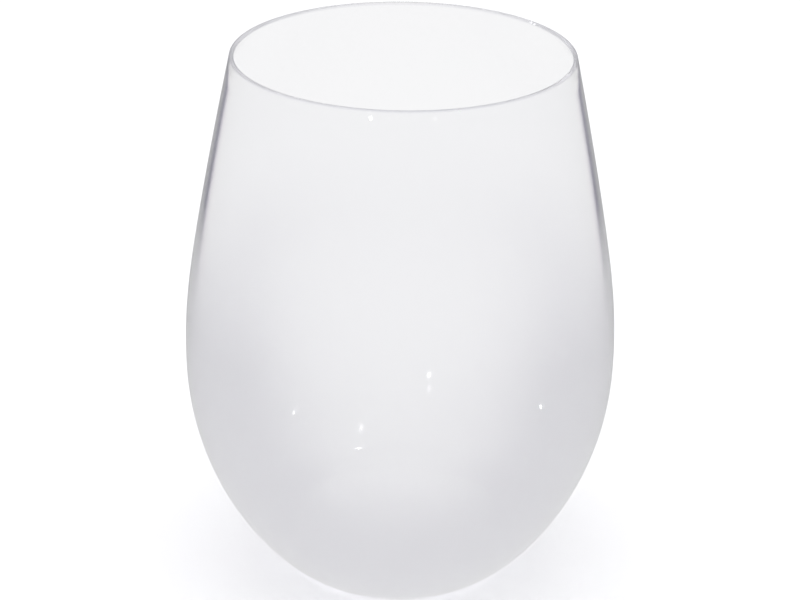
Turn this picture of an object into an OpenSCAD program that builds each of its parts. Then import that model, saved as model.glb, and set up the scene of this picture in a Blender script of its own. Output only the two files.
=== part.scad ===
// Stemless wine glass: a blown bowl of clear glass, with a white frosted coat that fades out
// up its outside. Millimetres, +Z up. The origin is the centre of the foot, on the surface
// that the glass stands on.

/* [Outline of the bowl] */
// Height from the foot to the top of the rim
glass_h = 120; // [110:1:135]
// Outside diameter at the rim
rim_d = 72.8; // [66:0.2:78]
// How far the wall leans in at the rim, in degrees from upright
rim_lean = 12.4; // [8:0.2:13.4]
// Outside diameter of the glass at the widest place, under the coat
belly_d = 94.6; // [90:0.2:104]
// Height of the widest place
belly_z = 50.6; // [44:0.2:60]
// Outside diameter of the flat ring that the glass stands on
foot_d = 42; // [34:0.5:50]
// Radius of the turn from the foot up into the wall
foot_round = 8; // [4:0.5:12]
// Slope of the wall where that turn ends, in degrees from level
foot_slope = 28; // [22:1:36]

/* [Thickness of the glass] */
// Thickness at the rim, which is fire-polished to a full round
rim_wall = 1; // [0.8:0.05:1.4]
// Thickness at the widest place
side_wall = 1.8; // [1.3:0.05:2.4]
// Thickness where the wall runs into the floor
heel_wall = 3; // [2:0.1:4]
// Thickness in the middle of the floor
floor_wall = 3.8; // [2.5:0.1:6]
// Width of the flat ring that the glass stands on
foot_land = 1.6; // [1:0.1:3]
// Depth of the hollow under the foot
punt_h = 1.2; // [0.6:0.1:2]

/* [Frosted coat] */
// Thickness of the coat where it is full
coat_t = 0.2; // [0.1:0.02:0.4]
// Thickness that is left at its faded upper edge
coat_edge_t = 0.05; // [0.03:0.01:0.08]
// Height of its lower edge, clear of the table
coat_low_z = 1.4; // [1:0.1:3]
// Height up to which the coat is full
coat_full_z = 58; // [52:1:74]
// Height at which it has faded out
coat_top_z = 92; // [84:1:104]

/* [Smoothness] */
// Steps along each curve of the outline
curve_steps = 24; // [16:4:60]
// Sides of the turned shapes in a preview
turn_sides = 180; // [60:12:240]

/* [Hidden] */

// How long the handles of the curves are, as shares of the height or span that each one serves
belly_down_share = 0.57;
belly_up_share = 0.18;
rim_down_share = 0.65;
foot_out_share = 0.1;
floor_flat_share = 0.5;
floor_heel_share = 0.26;
punt_flat_share = 0.5;
// How far up the lower side, as a share of its curve, the floor turns into the wall
heel_share = 0.35;

foot_r = foot_d/2;
belly_r = belly_d/2;
rim_r = rim_d/2;
rim_round = rim_wall/2;
floor_z = punt_h + floor_wall;

function unit(v) = v/norm(v);
function outward(heading) = [heading.y, -heading.x];
function mix(a, b, share) = a + (b - a)*share;
function clamp(share) = min(max(share, 0), 1);
function eased(share) = let(s = clamp(share)) s*s*(3 - 2*s);

// A cubic curve from a to d with handles b and c, or its last part, as [place, heading] pairs
function place_at(a, b, c, d, t) =
    (1 - t)^3*a + 3*(1 - t)^2*t*b + 3*(1 - t)*t^2*c + t^3*d;
function heading_at(a, b, c, d, t) =
    unit((1 - t)^2*(b - a) + 2*(1 - t)*t*(c - b) + t^2*(d - c));
function curve(a, b, c, d, from = 0) = [
    for (i = [0:curve_steps])
        let(t = mix(from, 1, i/curve_steps))
        [place_at(a, b, c, d, t), heading_at(a, b, c, d, t)]
];

// An arc about a centre between two angles, run anticlockwise, as the same kind of pairs
function arc(centre, radius, from, to) = [
    for (i = [0:curve_steps/2])
        let(a = mix(from, to, 2*i/curve_steps))
        [centre + radius*[cos(a), sin(a)], [-sin(a), cos(a)]]
];

function after_first(line) = [for (i = [1:len(line) - 1]) line[i]];
function backwards(line) = [for (i = [len(line) - 1:-1:0]) line[i]];
function places(line) = [for (s = line) s[0]];

// The outside: the foot's turn, the lower side up to the widest place, the upper side to the rim
foot_turn = arc([foot_r, foot_round], foot_round, -90, foot_slope - 90);
turn_end = foot_turn[len(foot_turn) - 1];
belly = [belly_r, belly_z];
rim_heading = [-sin(rim_lean), cos(rim_lean)];
rim_centre = [rim_r - rim_round, glass_h - rim_round];
rim_end = rim_centre + rim_round*outward(rim_heading);
rise_h = glass_h - belly_z;
function lower_side(from = 0) = curve(
    turn_end[0],
    turn_end[0] + foot_out_share*norm(belly - turn_end[0])*turn_end[1],
    belly - [0, belly_down_share*belly_z],
    belly,
    from
);
upper_side = curve(
    belly,
    belly + [0, belly_up_share*rise_h],
    rim_end - rim_down_share*rise_h/cos(rim_lean)*rim_heading,
    rim_end
);
outside = concat(foot_turn, after_first(lower_side()), after_first(upper_side));

// The inside of the wall. It is thinnest at the rim and thickens all the way down, as the
// glass does when it is blown
wall_line = concat(lower_side(heel_share), after_first(upper_side));
heel_z = wall_line[0][0].y;
function wall_at(z) =
    z > belly_z
        ? mix(side_wall, rim_wall, eased((z - belly_z)/rise_h))
        : mix(heel_wall, side_wall, eased((z - heel_z)/(belly_z - heel_z)));
inside = [for (s = wall_line) [s[0] - wall_at(s[0].y)*outward(s[1]), s[1]]];

// The inside of the floor, from the middle out to where the wall takes over
heel = inside[0];
floor_line = curve(
    [0, floor_z],
    [floor_flat_share*heel[0].x, floor_z],
    heel[0] - floor_heel_share*heel[0].x*heel[1],
    heel[0]
);

// The hollow under the foot, from the middle out to the flat ring
land_r = foot_r - foot_land;
punt_line = curve(
    [0, punt_h],
    [punt_flat_share*land_r, punt_h],
    [(1 - punt_flat_share)*land_r, 0],
    [land_r, 0]
);

// The full round of the rim
rim_turn = arc(rim_centre, rim_round, rim_lean, rim_lean + 180);

// The coat's outer face stands off the glass by less and less towards its faded edge
function coat_at(z) =
    mix(coat_t, coat_edge_t, eased((z - coat_full_z)/(coat_top_z - coat_full_z)));
coat_line = [for (s = outside) s[0] + coat_at(s[0].y)*outward(s[1])];

module turned() {
    rotate_extrude($fn = turn_sides)
        children();
}

module glass_bowl() {
    color([0.93, 0.94, 0.96, 0.35])
        turned()
            polygon(places(concat(
                punt_line,
                outside,
                after_first(rim_turn),
                after_first(backwards(inside)),
                after_first(backwards(floor_line))
            )));
}

module frosted_coat() {
    color([0.94, 0.94, 0.95, 0.85])
        turned()
            intersection() {
                polygon(concat(coat_line, backwards(places(outside))));
                translate([0, coat_low_z])
                    square([belly_d, coat_top_z - coat_low_z]);
            }
}

glass_bowl();
frosted_coat();
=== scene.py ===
import math

import bpy
from mathutils import Matrix, Vector


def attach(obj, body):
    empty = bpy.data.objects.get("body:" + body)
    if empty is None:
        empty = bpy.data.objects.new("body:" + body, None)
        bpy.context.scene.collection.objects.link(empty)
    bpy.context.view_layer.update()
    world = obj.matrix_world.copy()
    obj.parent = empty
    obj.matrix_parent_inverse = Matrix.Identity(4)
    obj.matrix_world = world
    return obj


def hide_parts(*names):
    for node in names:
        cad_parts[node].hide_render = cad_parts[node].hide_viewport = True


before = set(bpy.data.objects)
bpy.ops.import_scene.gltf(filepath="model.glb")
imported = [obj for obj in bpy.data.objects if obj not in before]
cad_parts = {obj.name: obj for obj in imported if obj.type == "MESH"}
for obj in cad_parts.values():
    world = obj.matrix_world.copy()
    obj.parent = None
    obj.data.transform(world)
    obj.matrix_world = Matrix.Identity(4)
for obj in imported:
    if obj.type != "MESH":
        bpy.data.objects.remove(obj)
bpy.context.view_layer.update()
print("frame loaded: " + ", ".join(sorted(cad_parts)))

# Sizes below are in mm and degrees. The scene is in metres
mm = 0.001
onAxis = 1e-6    # a place nearer to the axis than this is on it


# An sRGB hex colour as linear light
def linear(hexColour):
    channels = [int(hexColour[i:i + 2], 16) / 255 for i in (1, 3, 5)]
    return [c / 12.92 if c <= 0.04045 else ((c + 0.055) / 1.055) ** 2.4 for c in channels] + [1]


# Where the photo's camera stood. The focal length is in pixels of the photo, 800 px wide
photo = {
    "frameWidth": 800,
    "focalPixels": 2002,
    "sensorWidth": 36,
    "clipStart": 10,
    "distance": 400,       # from the axis of the glass, along the floor
    "height": 251.4,
    "pitch": 25.25,        # down from level
    "yaw": -0.016,
    "roll": 0.695,
}


def placeCamera():
    pitch = math.radians(photo["pitch"])
    yaw = math.radians(photo["yaw"])
    roll = math.radians(photo["roll"])
    ahead = Vector((
        math.sin(yaw) * math.cos(pitch),
        math.cos(yaw) * math.cos(pitch),
        -math.sin(pitch),
    ))
    level = ahead.cross(Vector((0, 0, 1))).normalized()
    above = level.cross(ahead)
    right = level * math.cos(roll) + above * math.sin(roll)
    up = above * math.cos(roll) - level * math.sin(roll)
    camera = bpy.data.cameras.new("camera")
    camera.sensor_width = photo["sensorWidth"]
    camera.lens = photo["focalPixels"] / photo["frameWidth"] * photo["sensorWidth"]
    camera.clip_start = photo["clipStart"] * mm
    holder = bpy.data.objects.new("camera", camera)
    bpy.context.scene.collection.objects.link(holder)
    place = Vector((0, -photo["distance"], photo["height"])) * mm
    turn = Matrix((right, up, -ahead)).transposed().to_4x4()
    holder.matrix_world = Matrix.Translation(place) @ turn
    bpy.context.scene.camera = holder


placeCamera()
print("camera placed")


def eased(share):
    share = min(max(share, 0), 1)
    return share * share * (3 - 2 * share)


def mix(a, b, share):
    return a + (b - a) * share


def outward(heading):
    return Vector((heading.y, -heading.x))


# Lines are lists of (place, heading) pairs in the plane of radius and height
def curveLine(a, b, c, d, steps, start=0):
    line = []
    for i in range(steps + 1):
        t = mix(start, 1, i / steps)
        s = 1 - t
        place = s**3 * a + 3 * s * s * t * b + 3 * s * t * t * c + t**3 * d
        heading = s * s * (b - a) + 2 * s * t * (c - b) + t * t * (d - c)
        line.append((place, heading.normalized()))
    return line


def arcLine(centre, radius, startAngle, endAngle, steps):
    line = []
    for i in range(steps + 1):
        angle = math.radians(mix(startAngle, endAngle, i / steps))
        along = Vector((math.cos(angle), math.sin(angle)))
        line.append((centre + radius * along, Vector((-along.y, along.x))))
    return line


# Turns an outline about the axis. A place on the axis becomes one point, and a ring's outline
# closes on itself
def turnedMesh(name, outline, sides, ring=False):
    vertices = []
    rows = []
    for place in outline:
        if place.x < onAxis:
            rows.append([len(vertices)] * sides)
            vertices.append((0, 0, place.y * mm))
            continue
        rows.append(list(range(len(vertices), len(vertices) + sides)))
        radius = place.x * mm
        for i in range(sides):
            angle = 2 * math.pi * i / sides
            vertices.append((radius * math.cos(angle), radius * math.sin(angle), place.y * mm))
    faces = []
    above = rows[1:] + rows[:1] if ring else rows[1:]
    for low, high in zip(rows, above):
        for i in range(sides):
            j = (i + 1) % sides
            faces.append(list(dict.fromkeys([low[i], low[j], high[j], high[i]])))
    mesh = bpy.data.meshes.new(name)
    mesh.from_pydata(vertices, [], faces)
    mesh.shade_smooth()
    mesh.validate()
    piece = bpy.data.objects.new(name, mesh)
    bpy.context.scene.collection.objects.link(piece)
    return piece


def newMaterial(name):
    material = bpy.data.materials.new(name)
    material.use_nodes = True
    material.node_tree.nodes.clear()
    return material


# Settings and links name an input, or give its number where two inputs share a name
def addNode(tree, kind, settings=None, links=None):
    node = tree.nodes.new(kind)
    for key, value in (settings or {}).items():
        if isinstance(key, int) or key in node.inputs:
            node.inputs[key].default_value = value
        else:
            setattr(node, key, value)
    for key, source in (links or {}).items():
        tree.links.new(source, node.inputs[key])
    return node


# 1 where the eye looks past, through or into the glass, 0 for light that a surface has scattered
def eyesRay(tree, kinds):
    path = addNode(tree, "ShaderNodeLightPath")
    either = path.outputs[kinds[0]]
    for kind in kinds[1:]:
        either = addNode(tree, "ShaderNodeMath", {"operation": "MAXIMUM"}, {
            0: either,
            1: path.outputs[kind],
        }).outputs["Value"]
    eyes = addNode(tree, "ShaderNodeMath", {
        "operation": "SUBTRACT",
        "use_clamp": True,
    }, {0: either, 1: path.outputs["Is Diffuse Ray"]})
    return eyes.outputs["Value"]


# At this blend Layer Weight's Facing is 1 less the cosine of the turn away from the eye
evenBlend = 0.5

bowl = {
    "height": 120,
    "rimDiameter": 72.8,
    "rimLean": 12.4,           # how far the wall leans in there, from upright
    "bellyDiameter": 94.6,
    "bellyHeight": 50.6,
    "footDiameter": 42,
    "footRound": 8,
    "footSlope": 28,           # where the foot's turn ends, from level
    "rimWall": 1,
    "sideWall": 1.8,           # at the widest place
    "heelWall": 3,             # where the wall runs into the floor
    "floorWall": 3.8,
    "footLand": 1.6,           # the flat ring that the glass stands on
    "puntHeight": 1.2,         # the hollow under the foot
    "bellyDownShare": 0.57,    # handles of the curves, as shares of what each one spans
    "bellyUpShare": 0.18,
    "rimDownShare": 0.65,
    "footOutShare": 0.1,
    "floorFlatShare": 0.5,
    "floorHeelShare": 0.26,
    "puntFlatShare": 0.5,
    "heelShare": 0.35,         # how far up the lower side the floor turns into the wall
    "steps": 40,               # along a curve, and half as many round an arc
    "sides": 256,
    "ior": 1.52,
    "insideRoughness": 0.04,   # too fine to blur what is seen through it
    # Painted shade in the glass's colour, standing in for the dark reflections at its edges, by how far it
    # is turned away: 0 is straight on, 1 edge-on
    "paintedEdgeShade": [
        (0.0, "#fcfcfd"), (0.685, "#fcfcfd"), (0.705, "#f6f2f5"), (0.732, "#dcd7e0"), (0.749, "#b0acb8"),
        (0.765, "#7e7a8c"), (0.79, "#34314a"), (0.815, "#4a4858"), (0.87, "#7a7882"), (1.0, "#706e78"),
    ],
    "paintedRimShade": [(0.0, "#ececf0"), (0.5, "#d2d1d8"), (0.75, "#54535f"), (1.0, "#2c2b34")],
    "clear": "#fcfcfd",        # where no line shows
    "rimShift": 0.1,           # how far the line moves out at the rim, where the wall is thinner
    "rimReach": 5,             # how far below the rim that starts
    "lineFull": 90,            # the line is fully dark above this height
    "linePale": 60,            # and pale below this one
    "paleShare": 0.35,         # what is left of it there
    "lampPass": "#f9f9fa",     # what one surface passes on of lamp light and scattered light
    "waveSize": 32,
    "waveDepth": 0.02,
}


def bowlOutside(k):
    steps = k["steps"]
    turnCentre = Vector((k["footDiameter"] / 2, k["footRound"]))
    turn = arcLine(turnCentre, k["footRound"], -90, k["footSlope"] - 90, steps // 2)
    turnEnd, turnHeading = turn[-1]
    belly = Vector((k["bellyDiameter"] / 2, k["bellyHeight"]))
    lean = math.radians(k["rimLean"])
    rimHeading = Vector((-math.sin(lean), math.cos(lean)))
    rimRound = k["rimWall"] / 2
    rimCentre = Vector((k["rimDiameter"] / 2 - rimRound, k["height"] - rimRound))
    rimEnd = rimCentre + rimRound * outward(rimHeading)
    rise = k["height"] - k["bellyHeight"]

    def lowerSide(start=0):
        out = k["footOutShare"] * (belly - turnEnd).length * turnHeading
        down = Vector((0, k["bellyDownShare"] * k["bellyHeight"]))
        return curveLine(turnEnd, turnEnd + out, belly - down, belly, steps, start)

    up = Vector((0, k["bellyUpShare"] * rise))
    back = k["rimDownShare"] * rise / math.cos(lean) * rimHeading
    upperSide = curveLine(belly, belly + up, rimEnd - back, rimEnd, steps)
    outside = turn + lowerSide()[1:] + upperSide[1:]
    wallLine = lowerSide(k["heelShare"]) + upperSide[1:]
    rimTurn = arcLine(rimCentre, rimRound, k["rimLean"], k["rimLean"] + 180, steps // 2)
    return outside, wallLine, rimTurn


def bowlInside(k, wallLine):
    heelHeight = wallLine[0][0].y

    def wallAt(z):
        if z > k["bellyHeight"]:
            up = (z - k["bellyHeight"]) / (k["height"] - k["bellyHeight"])
            return mix(k["sideWall"], k["rimWall"], eased(up))
        up = (z - heelHeight) / (k["bellyHeight"] - heelHeight)
        return mix(k["heelWall"], k["sideWall"], eased(up))

    inside = [(place - wallAt(place.y) * outward(heading), heading) for place, heading in wallLine]
    heel, heelHeading = inside[0]
    floorTop = k["puntHeight"] + k["floorWall"]
    floor = curveLine(
        Vector((0, floorTop)),
        Vector((k["floorFlatShare"] * heel.x, floorTop)),
        heel - k["floorHeelShare"] * heel.x * heelHeading,
        heel,
        k["steps"],
    )
    return floor + inside[1:]


def puntLine(k):
    landRadius = k["footDiameter"] / 2 - k["footLand"]
    return curveLine(
        Vector((0, k["puntHeight"])),
        Vector((k["puntFlatShare"] * landRadius, k["puntHeight"])),
        Vector(((1 - k["puntFlatShare"]) * landRadius, 0)),
        Vector((landRadius, 0)),
        k["steps"] // 2,
    )


# A painted shade line in the glass's colour where its wall turns away, standing in for the dark
# reflections seen there: a colour by how far the surface is turned, which narrows at the rim,
# where the wall is thinner, and pales down the side
def paintedEdgeLine(k, tree, height, paintedShade):
    weight = addNode(tree, "ShaderNodeLayerWeight", {"Blend": evenBlend})
    shift = addNode(tree, "ShaderNodeMapRange", {
        "From Min": (k["height"] - k["rimReach"]) * mm,
        "From Max": (k["height"] - k["rimWall"]) * mm,
        "To Min": 0.0,
        "To Max": k["rimShift"],
    }, {"Value": height})
    turned = addNode(tree, "ShaderNodeMath", {"operation": "SUBTRACT"}, {
        0: weight.outputs["Facing"],
        1: shift.outputs["Result"],
    })
    edge = addNode(tree, "ShaderNodeValToRGB", links={"Fac": turned.outputs["Value"]})
    stops = edge.color_ramp.elements
    stops.remove(stops[1])
    for i, (at, colour) in enumerate(paintedShade):
        stop = stops[0] if i == 0 else stops.new(at)
        stop.position = at
        stop.color = linear(colour)
    left = addNode(tree, "ShaderNodeMapRange", {
        "From Min": k["linePale"] * mm,
        "From Max": k["lineFull"] * mm,
        "To Min": k["paleShare"],
        "To Max": 1.0,
    }, {"Value": height})
    # Of the mix node's inputs, 0 is the factor, and 6 and 7 are the colours. Its output 2 is one
    line = addNode(tree, "ShaderNodeMix", {"data_type": "RGBA", 6: linear(k["clear"])}, {
        0: left.outputs["Result"],
        7: edge.outputs["Color"],
    })
    return line.outputs[2]


# Clear soda-lime glass, blown in a mould: smooth, with long shallow waves that bend the
# reflections a little. Where the wall turns away edge-on, a dark line about as wide as the wall
# is painted into its colour, as painted shade for the dark reflections seen there
def clearBlownGlass(k, name, roughness, paintedShade=None):
    material = newMaterial(name)
    tree = material.node_tree
    where = addNode(tree, "ShaderNodeTexCoord")
    waves = addNode(tree, "ShaderNodeTexNoise", {
        "Scale": 1 / (k["waveSize"] * mm),
        "Detail": 1.0,
    }, {"Vector": where.outputs["Object"]})
    bump = addNode(tree, "ShaderNodeBump", {
        "Strength": 1.0,
        "Distance": k["waveDepth"] * mm,
    }, {"Height": waves.outputs["Fac"]})
    shader = addNode(tree, "ShaderNodeBsdfPrincipled", {
        "Base Color": linear(k["clear"]),
        "Roughness": roughness,
        "IOR": k["ior"],
        "Transmission Weight": 1.0,
    }, {"Normal": bump.outputs["Normal"]})
    # Painted shade: the dark edge line goes into the glass's base colour
    if paintedShade:
        parts = addNode(tree, "ShaderNodeSeparateXYZ", links={"Vector": where.outputs["Object"]})
        line = paintedEdgeLine(k, tree, parts.outputs["Z"], paintedShade)
        tree.links.new(line, shader.inputs["Base Color"])
    # Lamps and scattered light go straight through the glass, to what stands behind it
    path = addNode(tree, "ShaderNodeLightPath")
    light = addNode(tree, "ShaderNodeMath", {"operation": "MAXIMUM"}, {
        0: path.outputs["Is Shadow Ray"],
        1: path.outputs["Is Diffuse Ray"],
    })
    lampLight = addNode(tree, "ShaderNodeBsdfTransparent", {"Color": linear(k["lampPass"])})
    pick = addNode(tree, "ShaderNodeMixShader", links={
        0: light.outputs["Value"],
        1: shader.outputs["BSDF"],
        2: lampLight.outputs["BSDF"],
    })
    addNode(tree, "ShaderNodeOutputMaterial", links={"Surface": pick.outputs["Shader"]})
    return material


def buildBowl(k):
    outside, wallLine, rimTurn = bowlOutside(k)
    outer = puntLine(k) + outside
    line = outer + rimTurn[1:] + bowlInside(k, wallLine)[-2::-1]
    glass = turnedMesh("clear_bowl", [place for place, heading in line], k["sides"])
    # The outside and the rim get the painted edge shade in their colour; the inside gets none
    glass.data.materials.append(clearBlownGlass(k, "clear_blown_glass", 0.0, k["paintedEdgeShade"]))
    glass.data.materials.append(clearBlownGlass(k, "fire_polished_rim", 0.0, k["paintedRimShade"]))
    glass.data.materials.append(clearBlownGlass(k, "clear_glass_inside", k["insideRoughness"]))
    rimStart = (len(outer) - 1) * k["sides"]
    rimEnd = rimStart + (len(rimTurn) - 1) * k["sides"]
    for face in glass.data.polygons:
        face.material_index = (face.index >= rimStart) + (face.index >= rimEnd)
    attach(glass, "root")
    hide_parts("glass_bowl")
    return outside


outside = buildBowl(bowl)
print("glass bowl turned")

coat = {
    "thickness": 0.18,         # on the glass, so that it stays within the solid's 0.2
    "edgeThickness": 0.05,     # left where it has faded out
    "standOff": 0.02,          # of its inner face from the glass
    "lowEdge": 1.4,
    "fullUpTo": 58,
    "fadedOutAt": 92,
    "sides": 256,
    "colour": "#fbfbfb",
    "roughness": 0.45,
    "glossStraightOn": 0.04,
    "glossRoughness": 0.04,
    "throughShare": 0.9,       # of the light that it scatters, the share that comes out behind
    "depthFacing": 0.122,      # its optical depth seen straight on
    "depthGrowth": 8.6,        # how fast that depth grows as the surface turns away
    "mottleSize": 9,           # faint clouds in the spray
    "mottle": 0.06,
    "peelSize": 1.6,           # orange peel
    "peelDepth": 0.003,
}


# White frost lacquer, sprayed on and baked: milky but still see-through where it faces the
# eye, closing to solid white where the eye looks along it, and thinned out by the spray
# towards its upper edge. A glossy skin with a trace of orange peel lies over it
def frostLacquer(k):
    material = newMaterial("white_frost_lacquer")
    tree = material.node_tree
    where = addNode(tree, "ShaderNodeTexCoord")
    parts = addNode(tree, "ShaderNodeSeparateXYZ", links={"Vector": where.outputs["Object"]})

    # Optical depth by how far the surface is turned away, then what that depth covers
    weight = addNode(tree, "ShaderNodeLayerWeight", {"Blend": evenBlend})
    slant = addNode(tree, "ShaderNodeMath", {
        "operation": "MULTIPLY",
        1: k["depthGrowth"],
    }, {0: weight.outputs["Facing"]})
    growth = addNode(tree, "ShaderNodeMath", {"operation": "EXPONENT"}, {0: slant.outputs["Value"]})
    depth = addNode(tree, "ShaderNodeMath", {
        "operation": "MULTIPLY",
        1: -k["depthFacing"],
    }, {0: growth.outputs["Value"]})
    passed = addNode(tree, "ShaderNodeMath", {"operation": "EXPONENT"}, {0: depth.outputs["Value"]})
    covered = addNode(tree, "ShaderNodeMath", {"operation": "SUBTRACT", 0: 1.0}, {
        1: passed.outputs["Value"],
    })

    fade = addNode(tree, "ShaderNodeMapRange", {
        "interpolation_type": "SMOOTHSTEP",
        "From Min": k["fadedOutAt"] * mm,
        "From Max": k["fullUpTo"] * mm,
        "To Min": 0.0,
        "To Max": 1.0,
    }, {"Value": parts.outputs["Z"]})
    mottle = addNode(tree, "ShaderNodeTexNoise", {
        "Scale": 1 / (k["mottleSize"] * mm),
        "Detail": 3.0,
    }, {"Vector": where.outputs["Object"]})
    thinned = addNode(tree, "ShaderNodeMapRange", {
        "To Min": 1 - k["mottle"],
        "To Max": 1.0,
    }, {"Value": mottle.outputs["Fac"]})
    sprayed = addNode(tree, "ShaderNodeMath", {"operation": "MULTIPLY"}, {
        0: fade.outputs["Result"],
        1: thinned.outputs["Result"],
    })
    cover = addNode(tree, "ShaderNodeMath", {"operation": "MULTIPLY"}, {
        0: covered.outputs["Value"],
        1: sprayed.outputs["Value"],
    })

    peel = addNode(tree, "ShaderNodeTexNoise", {
        "Scale": 1 / (k["peelSize"] * mm),
        "Detail": 1.0,
    }, {"Vector": where.outputs["Object"]})
    bump = addNode(tree, "ShaderNodeBump", {
        "Strength": 1.0,
        "Distance": k["peelDepth"] * mm,
    }, {"Height": peel.outputs["Fac"]})
    lacquer = addNode(tree, "ShaderNodeBsdfPrincipled", {
        "Base Color": linear(k["colour"]),
        "Roughness": k["roughness"],
    }, {"Normal": bump.outputs["Normal"]})
    through = addNode(tree, "ShaderNodeBsdfTranslucent", {"Color": linear(k["colour"])})
    milk = addNode(tree, "ShaderNodeMixShader", {0: k["throughShare"]}, {
        1: lacquer.outputs["BSDF"],
        2: through.outputs["BSDF"],
    })
    # The gloss grows from its straight-on share with the fifth power of the turn
    turned = addNode(tree, "ShaderNodeMath", {"operation": "POWER", 1: 5.0}, {0: weight.outputs["Facing"]})
    sheen = addNode(tree, "ShaderNodeMapRange", {
        "To Min": k["glossStraightOn"],
        "To Max": 1.0,
    }, {"Value": turned.outputs["Value"]})
    gloss = addNode(tree, "ShaderNodeBsdfAnisotropic", {
        "Roughness": k["glossRoughness"],
    }, {"Normal": bump.outputs["Normal"]})
    skin = addNode(tree, "ShaderNodeMixShader", links={
        0: sheen.outputs["Result"],
        1: milk.outputs["Shader"],
        2: gloss.outputs["BSDF"],
    })
    bare = addNode(tree, "ShaderNodeBsdfTransparent")
    veil = addNode(tree, "ShaderNodeMixShader", links={
        0: cover.outputs["Value"],
        1: bare.outputs["BSDF"],
        2: skin.outputs["Shader"],
    })
    addNode(tree, "ShaderNodeOutputMaterial", links={"Surface": veil.outputs["Shader"]})
    return material


# Where the coat lies on the glass no face of its own shows
def bondedFace():
    material = newMaterial("lacquer_on_glass")
    tree = material.node_tree
    bare = addNode(tree, "ShaderNodeBsdfTransparent")
    addNode(tree, "ShaderNodeOutputMaterial", links={"Surface": bare.outputs["BSDF"]})
    return material


# The places of a line between the coat's lower and upper edge, with one on each edge
def coatedPart(places, k):
    kept = []
    for a, b in zip(places, places[1:]):
        for edge in (k["lowEdge"], k["fadedOutAt"]):
            if (a.y - edge) * (b.y - edge) < 0:
                kept.append(a.lerp(b, (edge - a.y) / (b.y - a.y)))
        if k["lowEdge"] < b.y < k["fadedOutAt"]:
            kept.append(b)
    return kept


def buildCoat(k, outside):
    def thicknessAt(z):
        up = (z - k["fullUpTo"]) / (k["fadedOutAt"] - k["fullUpTo"])
        return mix(k["thickness"], k["edgeThickness"], eased(up))

    outer = coatedPart([place + thicknessAt(place.y) * outward(heading) for place, heading in outside], k)
    inner = coatedPart([place + k["standOff"] * outward(heading) for place, heading in outside], k)
    shell = outer + inner[::-1]
    skin = turnedMesh("frosted_skin", shell, k["sides"], ring=True)
    skin.data.materials.append(frostLacquer(k))
    skin.data.materials.append(bondedFace())
    outerFaces = (len(outer) - 1) * k["sides"]
    for face in skin.data.polygons:
        face.material_index = 0 if face.index < outerFaces else 1
    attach(skin, "root")
    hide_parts("frosted_coat")


buildCoat(coat, outside)
print("coat laid on")

studio = {
    "floorSize": 8000,
    "floorColour": "#e8e8ea",
    "floorGlow": 0.2,          # added for the camera, so that the floor reads white
    "floorInGlass": 0.958,     # how bright the floor is through the glass
    "skyColour": "#ffffff",
    "worldLight": 0.92,        # how bright the light from all round is on a surface
    "backdrop": 0.98,          # and how bright it looks behind the glass
    "mirrored": 0.5,           # the room that the glass mirrors is dimmer than the backdrop
    # Painted pool of light: in reflections the floor glows brighter near the glass, falling to the room's
    # brightness away from it
    "floorMirrored": 0.92,     # at the glass, falling to the room's away from it
    "floorMirroredReach": (40, 180),
    "overheadPlace": (0, 0, 1100),
    "overheadSize": 900,
    "overheadPower": 3,
    # Small lamps that the inside of the glass mirrors: degrees right of the camera, degrees up,
    # radius and brightness
    "smallLamps": [(-20.6, 23.7, 46, 200), (34.8, 39.7, 34, 400), (56.4, 62.5, 100, 400)],
    "smallLampDistance": 3000,
    # Pin spots close to the outside, two for the flanks and two for just below the rim: the place
    # on the glass where the glint is, degrees right of the camera and up from there, distance from
    # there, radius and brightness
    "pinSpots": [
        ((-21.4, -42.1, 57.1), -56.0, -24.1, 60, 0.6, 60),
        ((28.9, -37.3, 56.7), 78.6, -24.7, 60, 0.75, 80),
        ((-6.1, -36.0, 119.15), -19.7, 4.4, 15, 0.65, 15),
        ((6.2, -35.9, 119.15), 20.0, 4.4, 15, 0.6, 2.5),
    ],
    "pinSpotCone": 9,
    "crossings": 32,           # light crosses the two walls and the coat many times
    "bounces": 400,            # and runs along inside the wall
}


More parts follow.
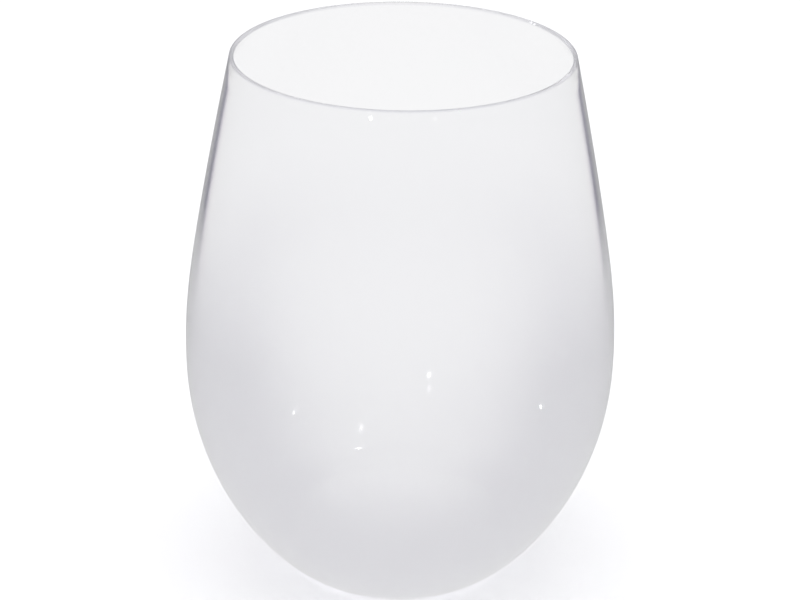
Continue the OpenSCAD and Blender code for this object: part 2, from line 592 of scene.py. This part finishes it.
# A plain pale floor, white to the camera and through the glass, that keeps the soft shadow. In the glass's
# reflections it has a painted pool of light near the glass
def layFloor(k):
    half = k["floorSize"] / 2 * mm
    mesh = bpy.data.meshes.new("floor")
    corners = [(-half, -half, 0), (half, -half, 0), (half, half, 0), (-half, half, 0)]
    mesh.from_pydata(corners, [], [(0, 1, 2, 3)])
    floor = bpy.data.objects.new("floor", mesh)
    bpy.context.scene.collection.objects.link(floor)
    material = newMaterial("studio_floor")
    tree = material.node_tree
    path = addNode(tree, "ShaderNodeLightPath")
    strength = addNode(tree, "ShaderNodeMath", {
        "operation": "MULTIPLY",
        1: k["floorGlow"],
    }, {0: path.outputs["Is Camera Ray"]})
    glow = addNode(tree, "ShaderNodeEmission", links={"Strength": strength.outputs["Value"]})
    matte = addNode(tree, "ShaderNodeBsdfDiffuse", {"Color": linear(k["floorColour"])})
    lit = addNode(tree, "ShaderNodeAddShader", links={
        0: matte.outputs["BSDF"],
        1: glow.outputs["Emission"],
    })
    # Painted pool of light in reflections: the floor's glow is brighter near the glass
    where = addNode(tree, "ShaderNodeTexCoord")
    away = addNode(tree, "ShaderNodeVectorMath", {"operation": "LENGTH"}, {0: where.outputs["Object"]})
    near, far = k["floorMirroredReach"]
    mirrored = addNode(tree, "ShaderNodeMapRange", {
        "From Min": near * mm,
        "From Max": far * mm,
        "To Min": k["floorMirrored"],
        "To Max": k["mirrored"],
    }, {"Value": away.outputs["Value"]})
    brightness = addNode(tree, "ShaderNodeMapRange", {"To Min": k["floorInGlass"]}, {
        "Value": path.outputs["Is Reflection Ray"],
        "To Max": mirrored.outputs["Result"],
    })
    inGlass = addNode(tree, "ShaderNodeEmission", links={"Strength": brightness.outputs["Result"]})
    pick = addNode(tree, "ShaderNodeMixShader", links={
        0: eyesRay(tree, ["Is Glossy Ray", "Is Transmission Ray"]),
        1: lit.outputs["Shader"],
        2: inGlass.outputs["Emission"],
    })
    addNode(tree, "ShaderNodeOutputMaterial", links={"Surface": pick.outputs["Shader"]})
    mesh.materials.append(material)


# Even light from all round. The backdrop is white to the camera and through the glass
def lightWorld(k):
    world = bpy.data.worlds.new("studio")
    bpy.context.scene.world = world
    world.use_nodes = True
    tree = world.node_tree
    tree.nodes.clear()
    path = addNode(tree, "ShaderNodeLightPath")
    seen = addNode(tree, "ShaderNodeMapRange", {
        "To Min": k["backdrop"],
        "To Max": k["mirrored"],
    }, {"Value": path.outputs["Is Reflection Ray"]})
    strength = addNode(tree, "ShaderNodeMapRange", {"To Min": k["worldLight"]}, {
        "Value": eyesRay(tree, ["Is Camera Ray", "Is Glossy Ray", "Is Transmission Ray"]),
        "To Max": seen.outputs["Result"],
    })
    sky = addNode(tree, "ShaderNodeBackground", {"Color": linear(k["skyColour"])}, {
        "Strength": strength.outputs["Result"],
    })
    addNode(tree, "ShaderNodeOutputWorld", links={"Surface": sky.outputs["Background"]})


# A wide soft lamp that casts the shadow, and is itself kept out of the reflections
def hangLamp(k):
    light = bpy.data.lights.new("overhead", "AREA")
    light.size = k["overheadSize"] * mm
    light.energy = k["overheadPower"]
    holder = bpy.data.objects.new("overhead", light)
    bpy.context.scene.collection.objects.link(holder)
    holder.location = Vector(k["overheadPlace"]) * mm
    holder.visible_camera = False
    holder.visible_glossy = False
    holder.visible_transmission = False


# A round lamp that shows in reflections alone. Its power follows from its size and brightness
def putGlintLamp(kind, place, radius, brightness):
    light = bpy.data.lights.new("glint_lamp", kind)
    light.shadow_soft_size = radius * mm
    light.energy = brightness * (2 * math.pi * radius * mm) ** 2
    holder = bpy.data.objects.new("glint_lamp", light)
    bpy.context.scene.collection.objects.link(holder)
    holder.location = Vector(place) * mm
    holder.visible_camera = False
    holder.visible_diffuse = False
    return holder


# Degrees right of the camera, seen from the glass, and degrees up
def direction(across, up):
    across = math.radians(across)
    up = math.radians(up)
    return Vector((math.sin(across) * math.cos(up), -math.cos(across) * math.cos(up), math.sin(up)))


def hangSmallLamps(k):
    middle = Vector((0, 0, bowl["bellyHeight"]))
    for across, up, radius, brightness in k["smallLamps"]:
        place = middle + direction(across, up) * k["smallLampDistance"]
        putGlintLamp("POINT", place, radius, brightness)
    for glint, across, up, distance, radius, brightness in k["pinSpots"]:
        away = direction(across, up)
        spot = putGlintLamp("SPOT", Vector(glint) + away * distance, radius, brightness)
        spot.data.spot_size = math.radians(k["pinSpotCone"])
        spot.rotation_mode = "QUATERNION"
        spot.rotation_quaternion = away.to_track_quat("Z", "Y")


layFloor(studio)
lightWorld(studio)
hangLamp(studio)
hangSmallLamps(studio)
print("studio lit")

bpy.context.scene.view_settings.view_transform = "Standard"
cycles = bpy.context.scene.cycles
# The denoiser works from the picture alone, which keeps lines out of the coat's fade
cycles.denoising_input_passes = "RGB"
cycles.transparent_max_bounces = studio["crossings"]
cycles.max_bounces = studio["bounces"]
cycles.glossy_bounces = studio["bounces"]
cycles.transmission_bounces = studio["bounces"]
